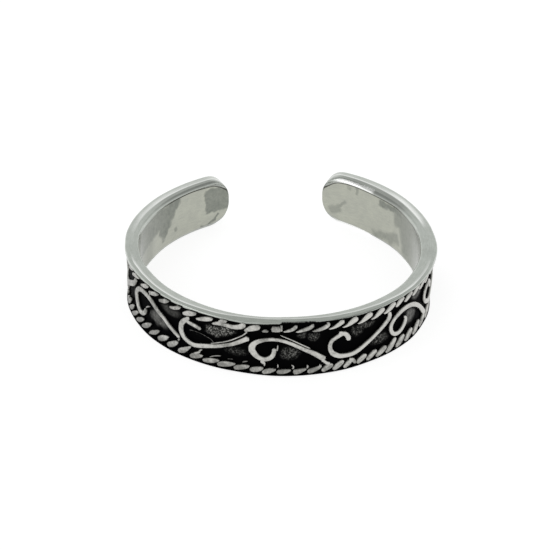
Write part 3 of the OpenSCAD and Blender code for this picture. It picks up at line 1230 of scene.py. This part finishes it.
@dataclass
class Scrolls:
    """Crooks of wire between the ropes, each with its curl and its leg."""

    sweep: Sweep
    wires: tuple[Wire, ...] = (
        Wire(
            ((-80, -0.045, 0.34), (-83, -0.082, 0.34), (-87, -0.088, 0.34), (-91, -0.06, 0.34),
             (-92.5, -0.01, 0.34), (-91.5, 0.03, 0.34))
        ),
        Wire(
            ((-90, -0.07, 0.36), (-85, -0.07, 0.38), (-80, -0.03, 0.38), (-75, 0.02, 0.37),
             (-71.5, 0.056, 0.36), (-69.5, 0.088, 0.34), (-68.4, 0.12, 0.3))
        ),
        Wire(
            ((-59.6, -0.012, 0.22), (-59.9, -0.040, 0.3), (-61.4, -0.065, 0.32), (-63.9, -0.077, 0.3),
             (-66.1, -0.058, 0.32), (-67.6, -0.018, 0.36), (-67.9, 0.026, 0.36), (-65.9, 0.070, 0.34),
             (-63.3, 0.092, 0.32), (-60.6, 0.098, 0.32), (-57.6, 0.096, 0.33), (-55.2, 0.084, 0.33),
             (-52.8, 0.063, 0.31), (-50.4, 0.042, 0.28), (-47.9, 0.0255, 0.26), (-45.5, -0.001, 0.255),
             (-43.1, -0.0255, 0.25), (-41.0, -0.045, 0.24), (-39.5, -0.056, 0.2)),
            end=Tip.BLUNT,
        ),
        Wire(((-39.8, -0.066, 0.12), (-40.3, -0.080, 0.16), (-40.9, -0.096, 0.16)), sink=0.075 * MM),
        Wire(((-59.5, -0.008, 0.12), (-58.2, 0.013, 0.11), (-56.4, 0.031, 0.08)), sink=0.02 * MM),
        Wire(
            ((-35.2, 0.124, 0.24), (-35.9, 0.104, 0.3), (-37.3, 0.083, 0.35), (-38.5, 0.056, 0.37),
             (-38.85, 0.027, 0.37), (-38.8, -0.001, 0.36), (-37.8, -0.0335, 0.32), (-35.9, -0.055, 0.29),
             (-33.7, -0.066, 0.29), (-31.4, -0.062, 0.3), (-29.0, -0.05, 0.3), (-25.35, -0.0325, 0.27),
             (-22.9, -0.0205, 0.25), (-20.5, -0.004, 0.25), (-18.1, 0.011, 0.26), (-15.7, 0.032, 0.28),
             (-13.3, 0.0565, 0.32), (-11.4, 0.0765, 0.35)),
            end=Tip.SQUARE,
        ),
        Wire(
            ((-36.2, 0.088, 0.24), (-32.9, 0.078, 0.25), (-29.9, 0.066, 0.24)),
            end=Tip.BLUNT, sink=0.005 * MM,
        ),
        Wire(
            ((-26.2, -0.017, 0.06), (-23.6, -0.001, 0.075), (-20.5, 0.0205, 0.08), (-18.1, 0.041, 0.085),
             (-15.7, 0.067, 0.085), (-14.0, 0.086, 0.09), (-12.7, 0.107, 0.1), (-12.0, 0.122, 0.12)),
            sink=0.01 * MM,
        ),
        Wire(
            ((-35.6, 0.024, 0.04), (-33.5, 0.031, 0.05), (-30.5, 0.03, 0.055), (-27.8, 0.0195, 0.06),
             (-26.0, 0.008, 0.07), (-24.9, -0.010, 0.07)),
            sink=0.075 * MM,
        ),
        Wire(
            ((-2.45, 0.016, 0.27), (-2.5, -0.01, 0.29), (-2.9, -0.035, 0.3), (-4.0, -0.058, 0.29),
             (-5.8, -0.0685, 0.28), (-7.7, -0.06, 0.3), (-9.2, -0.04, 0.38), (-10.4, -0.008, 0.44),
             (-10.2, 0.022, 0.42), (-9.0, 0.048, 0.33), (-6.6, 0.0685, 0.27), (-4.0, 0.078, 0.24),
             (-1.6, 0.078, 0.235), (0.85, 0.069, 0.24), (3.3, 0.0515, 0.25), (5.7, 0.028, 0.26),
             (8.1, 0.003, 0.27), (9.9, -0.015, 0.29), (11.7, -0.034, 0.33), (14.1, -0.0665, 0.35),
             (15.7, -0.0855, 0.34)),
            start=Tip.BLUNT,
            end=Tip.BLUNT,
        ),
        Wire(((14.2, -0.084, 0.18), (15.5, -0.104, 0.2), (16.5, -0.120, 0.22), (17.6, -0.122, 0.24))),
        Wire(((-1.15, 0.04, 0.05), (-1.25, 0.018, 0.1), (-1.6, -0.008, 0.13)), sink=0.01 * MM),
        Wire(
            ((-0.35, 0.1115, 0.05), (2.06, 0.0905, 0.075), (4.5, 0.068, 0.085), (6.9, 0.0425, 0.09),
             (9.3, 0.0165, 0.1), (10.4, 0.004, 0.11)),
            end=Tip.BLUNT,
            sink=0.01 * MM,
        ),
        Wire(
            ((-7.4, -0.078, 0.22), (-6.4, -0.093, 0.24), (-5.9, -0.106, 0.12), (-6.2, -0.125, 0.06)),
            sink=0.02 * MM,
        ),
        Wire(
            ((23.9, 0.019, 0.28), (24.2, 0.034, 0.32), (23.9, 0.052, 0.32), (23.1, 0.071, 0.30),
             (22.1, 0.08, 0.29), (20.8, 0.071, 0.28), (19.3, 0.0565, 0.25), (18.1, 0.0425, 0.25),
             (17.5, 0.0215, 0.26), (17.35, -0.008, 0.28), (18.0, -0.042, 0.33), (19.2, -0.0635, 0.34),
             (21.0, -0.0805, 0.31), (23.4, -0.0865, 0.28), (25.8, -0.086, 0.28), (27.6, -0.077, 0.28),
             (29.5, -0.0605, 0.27), (31.9, -0.0355, 0.26), (34.3, -0.01, 0.26), (36.7, 0.017, 0.265),
             (39.1, 0.0465, 0.29), (40.6, 0.068, 0.31), (41.35, 0.0875, 0.31), (41.3, 0.1085, 0.26),
             (41.0, 0.125, 0.22)),
            start=Tip.BLUNT,
        ),
        Wire(((20.8, 0.099, 0.24), (21.3, 0.087, 0.30), (21.9, 0.074, 0.28)), start=Tip.BLUNT),
        Wire(
            ((49.2, 0.022, 0.14), (50.1, 0.002, 0.24), (50.0, -0.022, 0.28), (49.2, -0.042, 0.28),
             (48.0, -0.061, 0.28), (46.7, -0.071, 0.28), (45.3, -0.0725, 0.28), (43.9, -0.063, 0.28),
             (42.8, -0.0425, 0.28), (42.3, -0.0175, 0.28), (42.3, 0.0075, 0.27), (42.8, 0.0285, 0.27),
             (43.9, 0.049, 0.28), (45.3, 0.064, 0.3), (47.2, 0.0765, 0.33), (49.6, 0.0815, 0.34),
             (52.1, 0.0755, 0.33), (54.5, 0.061, 0.32), (56.9, 0.036, 0.31), (59.3, 0.0025, 0.31),
             (61.2, -0.0305, 0.32), (62.9, -0.064, 0.35), (64.6, -0.0975, 0.37), (66.0, -0.124, 0.36)),
        ),
        Wire(
            ((71.2, 0.016, 0.24), (71.7, 0.04, 0.26), (70.9, 0.063, 0.28), (69.4, 0.078, 0.29),
             (67.6, 0.076, 0.28), (65.9, 0.058, 0.26), (64.8, 0.03, 0.25), (64.7, 0.0, 0.27),
             (65.8, -0.03, 0.3), (67.6, -0.054, 0.32), (70.2, -0.078, 0.3), (73.0, -0.086, 0.28),
             (76.8, -0.0605, 0.27), (81.6, -0.01, 0.26), (86.4, 0.0465, 0.29), (88.3, 0.078, 0.31),
             (88.6, 0.1085, 0.26), (88.3, 0.125, 0.22)),
            start=Tip.BLUNT,
        ),
    )

    def build(self, material: bpy.types.Material) -> list[Vector]:
        """Makes the scrolls and returns the places that they cover."""
        bm = bmesh.new()
        covered = []
        for wire in self.wires:
            covered += self.sweep.wire(bm, wire)
        bend_and_show(bm, "scrolls", self.sweep.ring, material)
        return covered


@dataclass
class Rope:
    """One roped border: a row of slanted strands, each a little different.

    Attributes:
        name: Name of the piece.
        sweep: Draws the strands.
        strands: The strands that show in the photo, each from low on the left to high on the right.
        centres: Middles of the strands that don't show, in degrees.
        height: Their height, as a share of the outer radius.
        seed: Where their chances start.
        half_angle: Half the length of such a strand in degrees.
        rise: Half of what it rises, as a share of the outer radius.
        width: Its width in millimetres.
        leaf: Shares of its half length at which it is marked, each with its share of the width there.
    """

    name: str
    sweep: Sweep
    strands: tuple[Wire, ...]
    centres: tuple[float, ...]
    height: float
    seed: int
    half_angle: float = 2.8
    rise: float = 0.027
    width: float = 0.34
    leaf: Points = ((-1.0, 0.25), (-0.45, 0.85), (0.1, 1.0), (0.6, 0.95), (0.95, 0.6))

    def build(self, material: bpy.types.Material) -> list[Vector]:
        """Makes the rope and returns the places that it covers."""
        bm = bmesh.new()
        chance = random.Random(self.seed)
        covered = []
        for strand in (*self.strands, *(self._plain(centre, chance) for centre in self.centres)):
            covered += self.sweep.wire(bm, strand)
        bend_and_show(bm, self.name, self.sweep.ring, material)
        return covered

    def _plain(self, centre: float, chance: random.Random) -> Wire:
        """A strand out of sight, like the ones that show."""
        half = self.half_angle * chance.uniform(0.92, 1.06)
        rise = self.rise * chance.uniform(0.88, 1.1)
        width = self.width * chance.uniform(0.9, 1.1)
        return Wire(
            tuple((centre + half * t, self.height + rise * t, width * share) for t, share in self.leaf)
        )


UPPER_STRANDS = (
    Wire(((-77.6, 0.118, 0.16), (-75.2, 0.135, 0.28), (-72.6, 0.155, 0.3), (-70.4, 0.171, 0.2))),
    Wire(
        ((-72.2, 0.122, 0.18), (-70.0, 0.135, 0.26), (-67.4, 0.152, 0.32), (-65.2, 0.169, 0.3),
         (-64.2, 0.178, 0.2)),
    ),
    Wire(
        ((-63.2, 0.130, 0.12), (-61.6, 0.140, 0.24), (-60.0, 0.150, 0.3), (-58.4, 0.164, 0.29),
         (-57.3, 0.176, 0.16)),
    ),
    Wire(
        ((-57.0, 0.140, 0.14), (-55.2, 0.143, 0.25), (-53.4, 0.152, 0.28), (-51.8, 0.165, 0.25),
         (-50.5, 0.176, 0.12)),
    ),
    Wire(((-56.6, 0.142, 0.14), (-56.4, 0.128, 0.13), (-56.6, 0.112, 0.12)), sink=0.03 * MM),
    Wire(
        ((-50.4, 0.136, 0.14), (-49.0, 0.141, 0.25), (-47.4, 0.150, 0.3), (-46.0, 0.162, 0.28),
         (-44.8, 0.173, 0.14)),
    ),
    Wire(
        ((-44.6, 0.133, 0.12), (-43.0, 0.138, 0.21), (-41.2, 0.147, 0.24), (-39.9, 0.160, 0.27),
         (-38.9, 0.168, 0.16)),
    ),
    Wire(
        ((-38.0, 0.133, 0.14), (-36.6, 0.141, 0.3), (-34.8, 0.151, 0.35), (-33.1, 0.162, 0.32),
         (-31.8, 0.170, 0.18)),
    ),
    Wire(
        ((-32.1, 0.132, 0.12), (-30.3, 0.139, 0.23), (-28.3, 0.148, 0.29), (-26.4, 0.157, 0.26),
         (-25.0, 0.165, 0.14)),
    ),
    Wire(
        ((-25.5, 0.131, 0.1), (-23.4, 0.142, 0.24), (-20.6, 0.1445, 0.26), (-17.6, 0.1395, 0.27),
         (-15.2, 0.1455, 0.33), (-13.5, 0.160, 0.35), (-12.6, 0.170, 0.2))
    ),
    Wire(((-23.0, 0.150, 0.2), (-21.4, 0.163, 0.3), (-20.2, 0.177, 0.34), (-19.9, 0.186, 0.3))),
    Wire(
        ((-13.2, 0.129, 0.12), (-12.2, 0.134, 0.26), (-10.6, 0.146, 0.37), (-8.7, 0.155, 0.36),
         (-7.2, 0.162, 0.22)),
    ),
    Wire(((-6.8, 0.1315, 0.1), (-5.6, 0.138, 0.2), (-4.3, 0.1345, 0.14))),
    Wire(
        ((-3.5, 0.1535, 0.37), (-1.7, 0.150, 0.35), (0.1, 0.1535, 0.37)),
        start=Tip.SQUARE, end=Tip.SQUARE,
    ),
    Wire(
        ((0.22, 0.138, 0.13), (0.2, 0.16, 0.13), (0.15, 0.192, 0.13)),
        Tip.SQUARE, Tip.SQUARE, -0.03 * MM,
    ),
    Wire(
        ((0.7, 0.134, 0.08), (2.2, 0.139, 0.17), (4.0, 0.150, 0.22), (5.2, 0.166, 0.22),
         (5.2, 0.182, 0.16)),
        sink=0.02 * MM,
    ),
    Wire(
        ((5.1, 0.132, 0.08), (6.9, 0.1385, 0.18), (8.9, 0.148, 0.23), (10.5, 0.159, 0.23),
         (11.2, 0.172, 0.19), (10.9, 0.184, 0.12)),
    ),
    Wire(
        ((10.9, 0.130, 0.08), (12.7, 0.1335, 0.18), (14.5, 0.141, 0.23), (16.1, 0.1525, 0.24),
         (16.9, 0.168, 0.2), (16.3, 0.181, 0.13)),
    ),
    Wire(
        ((16.8, 0.1305, 0.08), (18.5, 0.136, 0.15), (20.3, 0.1485, 0.24), (21.8, 0.165, 0.27),
         (22.4, 0.175, 0.18)),
    ),
    Wire(
        ((21.9, 0.125, 0.07), (23.5, 0.1315, 0.17), (25.1, 0.1445, 0.3), (26.7, 0.160, 0.36),
         (27.8, 0.169, 0.24)),
    ),
    Wire(
        ((27.6, 0.1245, 0.07), (29.2, 0.132, 0.18), (30.8, 0.1455, 0.31), (32.4, 0.160, 0.37),
         (33.6, 0.170, 0.24)),
    ),
    Wire(
        ((33.1, 0.1245, 0.07), (34.7, 0.132, 0.18), (36.2, 0.1455, 0.3), (37.8, 0.162, 0.34),
         (38.8, 0.170, 0.22)),
    ),
    Wire(
        ((38.5, 0.130, 0.1), (40.2, 0.137, 0.24), (41.9, 0.151, 0.33), (43.2, 0.164, 0.31),
         (44.0, 0.173, 0.2)),
    ),
    Wire(
        ((44.2, 0.136, 0.14), (45.4, 0.147, 0.28), (46.7, 0.160, 0.32), (47.9, 0.169, 0.27),
         (48.4, 0.176, 0.16)),
    ),
    Wire(
        ((48.9, 0.134, 0.14), (50.2, 0.143, 0.29), (51.6, 0.155, 0.34), (52.8, 0.164, 0.28),
         (53.5, 0.170, 0.16)),
    ),
    Wire(
        ((53.8, 0.134, 0.14), (55.2, 0.144, 0.3), (56.8, 0.156, 0.36), (58.2, 0.164, 0.3),
         (59.0, 0.168, 0.18)),
    ),
    Wire(
        ((58.8, 0.130, 0.14), (60.2, 0.140, 0.3), (61.8, 0.152, 0.34), (63.2, 0.161, 0.3),
         (64.1, 0.166, 0.18)),
    ),
    Wire(
        ((63.8, 0.128, 0.14), (65.2, 0.137, 0.3), (66.7, 0.149, 0.33), (68.1, 0.160, 0.28),
         (69.0, 0.165, 0.18)),
    ),
)

LOWER_STRANDS = (
    Wire(((-79.6, -0.172, 0.2), (-77.8, -0.150, 0.34), (-76.0, -0.122, 0.34), (-74.4, -0.095, 0.18))),
    Wire(
        ((-76.6, -0.180, 0.16), (-75.0, -0.164, 0.32), (-73.2, -0.143, 0.36), (-71.6, -0.121, 0.3),
         (-70.6, -0.104, 0.14)),
    ),
    Wire(
        ((-72.4, -0.178, 0.16), (-70.9, -0.165, 0.31), (-69.1, -0.146, 0.34), (-67.4, -0.124, 0.28),
         (-65.9, -0.106, 0.12)),
    ),
    Wire(
        ((-67.0, -0.168, 0.18), (-65.5, -0.155, 0.32), (-63.8, -0.139, 0.34), (-62.2, -0.121, 0.28),
         (-60.8, -0.105, 0.12)),
    ),
    Wire(
        ((-62.1, -0.165, 0.16), (-60.6, -0.152, 0.32), (-58.8, -0.133, 0.36), (-57.0, -0.111, 0.29),
         (-55.4, -0.090, 0.12)),
    ),
    Wire(
        ((-57.0, -0.180, 0.08), (-56.0, -0.160, 0.2), (-54.6, -0.145, 0.31), (-53.0, -0.130, 0.32),
         (-51.5, -0.111, 0.25), (-50.4, -0.096, 0.12)),
    ),
    Wire(
        ((-51.3, -0.157, 0.2), (-50.0, -0.147, 0.36), (-48.5, -0.133, 0.41), (-46.8, -0.116, 0.33),
         (-45.2, -0.097, 0.14)),
    ),
    Wire(
        ((-46.0, -0.158, 0.2), (-44.8, -0.148, 0.36), (-43.3, -0.134, 0.4), (-41.8, -0.115, 0.34),
         (-40.4, -0.096, 0.16)),
    ),
    Wire(
        ((-40.4, -0.162, 0.18), (-39.3, -0.151, 0.36), (-37.8, -0.137, 0.39), (-36.2, -0.115, 0.28),
         (-34.4, -0.088, 0.12)),
    ),
    Wire(
        ((-35.0, -0.162, 0.2), (-33.7, -0.152, 0.36), (-32.2, -0.143, 0.37), (-30.6, -0.134, 0.28),
         (-29.3, -0.124, 0.12)),
    ),
    Wire(
        ((-33.4, -0.134, 0.14), (-32.0, -0.120, 0.17), (-30.9, -0.108, 0.16), (-30.5, -0.094, 0.14),
         (-29.6, -0.080, 0.1)),
    ),
    Wire(
        ((-29.5, -0.157, 0.2), (-28.0, -0.151, 0.32), (-26.2, -0.144, 0.36), (-24.2, -0.134, 0.27),
         (-22.7, -0.126, 0.12)),
    ),
    Wire(
        ((-27.0, -0.127, 0.06), (-25.2, -0.108, 0.08), (-23.3, -0.097, 0.085), (-22.0, -0.092, 0.06)),
        sink=0.05 * MM,
    ),
    Wire(
        ((-23.7, -0.157, 0.2), (-22.3, -0.151, 0.35), (-20.5, -0.144, 0.39), (-18.4, -0.135, 0.3),
         (-16.5, -0.126, 0.12)),
    ),
    Wire(((-20.0, -0.107, 0.05), (-18.6, -0.103, 0.07), (-17.2, -0.101, 0.05)), sink=0.08 * MM),
    Wire(
        ((-17.3, -0.157, 0.2), (-16.1, -0.152, 0.34), (-14.5, -0.145, 0.35), (-12.7, -0.136, 0.29),
         (-11.3, -0.127, 0.14)),
    ),
    Wire(((-14.2, -0.112, 0.05), (-13.2, -0.103, 0.09), (-11.9, -0.097, 0.07)), sink=0.05 * MM),
    Wire(
        ((-11.4, -0.152, 0.2), (-10.3, -0.151, 0.34), (-9.0, -0.148, 0.37), (-7.5, -0.140, 0.3),
         (-6.3, -0.131, 0.14)),
    ),
    Wire(
        ((-6.9, -0.168, 0.18), (-5.8, -0.161, 0.33), (-4.4, -0.153, 0.35), (-3.0, -0.145, 0.26),
         (-1.8, -0.138, 0.1)),
        Tip.BLUNT,
    ),
    Wire(
        ((-1.8, -0.158, 0.22), (-0.6, -0.158, 0.31), (0.7, -0.156, 0.32), (2.2, -0.150, 0.25),
         (3.5, -0.144, 0.1)),
    ),
    Wire(((-1.5, -0.134, 0.08), (-1.15, -0.12, 0.1), (-1.3, -0.102, 0.05)), sink=0.03 * MM),
    Wire(
        ((4.0, -0.162, 0.3), (5.2, -0.160, 0.36), (6.4, -0.156, 0.33), (7.8, -0.147, 0.22),
         (9.0, -0.140, 0.12)),
        Tip.BLUNT,
    ),
    Wire(
        ((3.8, -0.142, 0.1), (4.4, -0.126, 0.11), (4.1, -0.114, 0.09), (3.5, -0.110, 0.05)),
        sink=0.02 * MM,
    ),
    Wire(((8.9, -0.142, 0.1), (9.4, -0.126, 0.13), (9.1, -0.113, 0.12)), sink=0.01 * MM),
    Wire(
        ((9.1, -0.167, 0.24), (10.4, -0.160, 0.33), (11.8, -0.153, 0.3), (13.1, -0.143, 0.23),
         (13.9, -0.131, 0.2), (13.6, -0.119, 0.14)),
    ),
    Wire(
        ((14.2, -0.170, 0.2), (15.3, -0.161, 0.33), (16.5, -0.150, 0.36), (17.7, -0.138, 0.34),
         (18.2, -0.126, 0.2)),
    ),
    Wire(
        ((18.4, -0.176, 0.22), (19.4, -0.162, 0.33), (20.7, -0.146, 0.34), (21.8, -0.130, 0.28),
         (22.3, -0.116, 0.18)),
    ),
    Wire(
        ((22.4, -0.176, 0.2), (23.4, -0.162, 0.3), (24.5, -0.146, 0.32), (25.2, -0.130, 0.26),
         (24.8, -0.114, 0.18)),
    ),
    Wire(((25.2, -0.118, 0.18), (26.1, -0.136, 0.26), (26.7, -0.152, 0.22), (26.9, -0.166, 0.12))),
    Wire(
        ((27.4, -0.168, 0.18), (28.3, -0.158, 0.32), (29.4, -0.145, 0.37), (30.6, -0.131, 0.34),
         (31.4, -0.120, 0.2)),
    ),
    Wire(
        ((31.4, -0.170, 0.18), (32.4, -0.158, 0.3), (33.7, -0.143, 0.35), (34.9, -0.128, 0.33),
         (35.8, -0.117, 0.2)),
    ),
    Wire(
        ((35.4, -0.169, 0.2), (36.6, -0.160, 0.33), (38.0, -0.147, 0.38), (39.3, -0.133, 0.35),
         (40.3, -0.122, 0.2)),
    ),
    Wire(
        ((40.0, -0.178, 0.2), (41.2, -0.164, 0.34), (42.5, -0.146, 0.37), (43.7, -0.125, 0.34),
         (44.4, -0.103, 0.26), (44.6, -0.094, 0.18)),
    ),
    Wire(
        ((45.0, -0.178, 0.22), (46.2, -0.165, 0.36), (47.5, -0.148, 0.42), (48.7, -0.129, 0.36),
         (49.3, -0.112, 0.2)),
    ),
    Wire(
        ((50.0, -0.178, 0.22), (51.2, -0.165, 0.36), (52.5, -0.148, 0.42), (53.7, -0.129, 0.36),
         (54.4, -0.112, 0.2)),
    ),
    Wire(
        ((55.0, -0.178, 0.22), (56.4, -0.164, 0.38), (57.8, -0.146, 0.44), (59.1, -0.126, 0.38),
         (59.9, -0.108, 0.2)),
    ),
    Wire(
        ((60.4, -0.178, 0.22), (61.6, -0.166, 0.36), (63.0, -0.149, 0.4), (64.4, -0.131, 0.36),
         (65.2, -0.118, 0.22)),
    ),
    Wire(
        ((66.2, -0.178, 0.2), (67.4, -0.164, 0.34), (68.6, -0.147, 0.38), (69.8, -0.128, 0.34),
         (70.6, -0.112, 0.18)),
    ),
)


@dataclass(frozen=True)
class Lamp:
    """A round soft box that points at the ring.

    Attributes:
        name: Its name.
        place: Its middle.
        size: Its diameter.
        power: Its power in watts.
    """

    name: str
    place: tuple[float, float, float]
    size: float
    power: float


@dataclass(frozen=True)
class Studio:
    """Pale floor, soft light and the camera of the photo.

    Attributes:
        ring: The ring.
        elevation: Angle of the view over the floor.
        distance_in_radii: Distance of the camera in outer radii.
        focal_px: The camera's focal length in the photo's pixels.
        centre_px: Where its axis meets the photo.
        roll: How far it is turned about its axis.
        sensor: Width of the sensor.
        floor_r: Radius of the floor.
        floor_tone: Its tone.
        floor_glow: How brightly it is lit through.
        sky: Tones of the surroundings from the horizon up to overhead.
        lamps: The lamps.
    """

    ring: Ring
    elevation: float = 0.56936
    distance_in_radii: float = 10.0
    focal_px: float = 1519.76
    centre_px: tuple[float, float] = (280.39, 262.84)
    roll: float = -0.00817
    sensor: float = 36.0
    floor_r: float = 0.9
    floor_tone: Tone = Tone(0.30, 0.30, 0.30)
    floor_glow: float = 0.82
    sky: tuple[tuple[float, Tone], ...] = (
        (0.0, Tone(1.1, 1.1, 1.1)),
        (0.3, Tone(1.1, 1.1, 1.1)),
        (0.54, Tone(0.86, 0.87, 0.86)),
        (0.75, Tone(0.52, 0.53, 0.52)),
        (1.0, Tone(0.36, 0.36, 0.36)),
    )
    lamps: tuple[Lamp, ...] = (
        Lamp("overhead", (-0.03, 0.0, 0.22), 0.20, 0.05),
        Lamp("left", (-0.20, -0.05, 0.20), 0.12, 0.05),
    )

    def build(self) -> None:
        """Makes the whole studio."""
        self._camera()
        self._floor()
        self._lights()
        self._world()
        view = bpy.context.scene.view_settings
        view.view_transform = "Standard"
        view.look = "None"

    def _camera(self) -> None:
        """The camera, at the photo's viewing angle."""
        data = bpy.data.cameras.new("camera")
        data.sensor_width = self.sensor
        data.lens = self.focal_px / PHOTO_PX * self.sensor
        data.shift_x = (PHOTO_PX / 2 - self.centre_px[0]) / PHOTO_PX
        data.shift_y = (self.centre_px[1] - PHOTO_PX / 2) / PHOTO_PX
        data.clip_start = 1 * MM
        data.clip_end = 10.0
        camera = bpy.data.objects.new("camera", data)
        bpy.context.scene.collection.objects.link(camera)
        side, rise = self.ring.seen_from, self.elevation
        back = Vector((math.sin(side) * math.cos(rise), -math.cos(side) * math.cos(rise), math.sin(rise)))
        camera.location = back * self.distance_in_radii * self.ring.outer_r
        turn = (-back).to_track_quat("-Z", "Y").to_matrix() @ Matrix.Rotation(self.roll, 3, "Z")
        camera.rotation_euler = turn.to_euler()
        bpy.context.scene.camera = camera

    def _floor(self) -> None:
        """A wide pale floor under the ring, lit through from below like a light table."""
        bm = bmesh.new()
        bmesh.ops.create_circle(bm, cap_ends=True, segments=96, radius=self.floor_r)
        bmesh.ops.translate(bm, vec=(0, 0, -self.ring.half_h), verts=bm.verts)
        mesh = bpy.data.meshes.new("floor")
        bm.to_mesh(mesh)
        bm.free()
        floor = bpy.data.objects.new("floor", mesh)
        bpy.context.scene.collection.objects.link(floor)
        made = bpy.data.materials.new("floor")
        made.use_nodes = True
        shader = Shader(made.node_tree)
        inputs = {
            "Base Color": self.floor_tone.rgba(),
            "Roughness": 0.9,
            "Specular IOR Level": 0.1,
            "Emission Color": (1.0, 1.0, 1.0, 1),
            "Emission Strength": self.floor_glow,
        }
        shader.finish(shader.add("ShaderNodeBsdfPrincipled", None, inputs))
        mesh.materials.append(made)

    def _lights(self) -> None:
        """Soft boxes overhead and on the left."""
        for lamp in self.lamps:
            data = bpy.data.lights.new(lamp.name, "AREA")
            data.shape = "DISK"
            data.size = lamp.size
            data.energy = lamp.power
            light = bpy.data.objects.new(lamp.name, data)
            bpy.context.scene.collection.objects.link(light)
            light.location = lamp.place
            light.rotation_euler = (-Vector(lamp.place)).to_track_quat("-Z", "Y").to_euler()

    def _world(self) -> None:
        """Even surroundings, light round the horizon and darker overhead."""
        world = bpy.data.worlds.new("studio")
        world.use_nodes = True
        bpy.context.scene.world = world
        shader = Shader(world.node_tree)
        way = shader.add("ShaderNodeTexCoord", output="Generated")
        _, _, rise = shader.split(way)
        stops = tuple((place, tone.rgb()) for place, tone in self.sky)
        colour = shader.add("ShaderNodeValToRGB", {"stops": stops}, {"Fac": rise}, "Color")
        shader.finish(shader.add("ShaderNodeBackground", None, {"Color": colour}), "ShaderNodeOutputWorld")


def evenly(start: float, pitch: float, count: int) -> tuple[float, ...]:
    """Evenly spaced angles in degrees."""
    return tuple(start + pitch * i for i in range(count))


def main() -> None:
    """Builds the ring and the studio."""
    ring = Ring.from_frame()
    silver = CastSilver()
    band_finish = silver.band("silver_band", ring)
    relief_finish = silver.relief("silver_relief", ring)
    Studio(ring).build()
    sweep = Sweep(ring)
    routes = Scrolls(sweep).build(relief_finish)
    centres = evenly(-94.0, 5.2, 4) + evenly(73.0, 4.9, 5)
    routes += Rope("upper_rope", sweep, UPPER_STRANDS, centres, 0.150, 3).build(relief_finish)
    centres = evenly(-94.5, 4.9, 4) + evenly(72.6, 5.0, 5)
    routes += Rope("lower_rope", sweep, LOWER_STRANDS, centres, -0.146, 8).build(relief_finish)
    Band(ring, routes).build(band_finish)


if __name__ == "__main__":
    main()
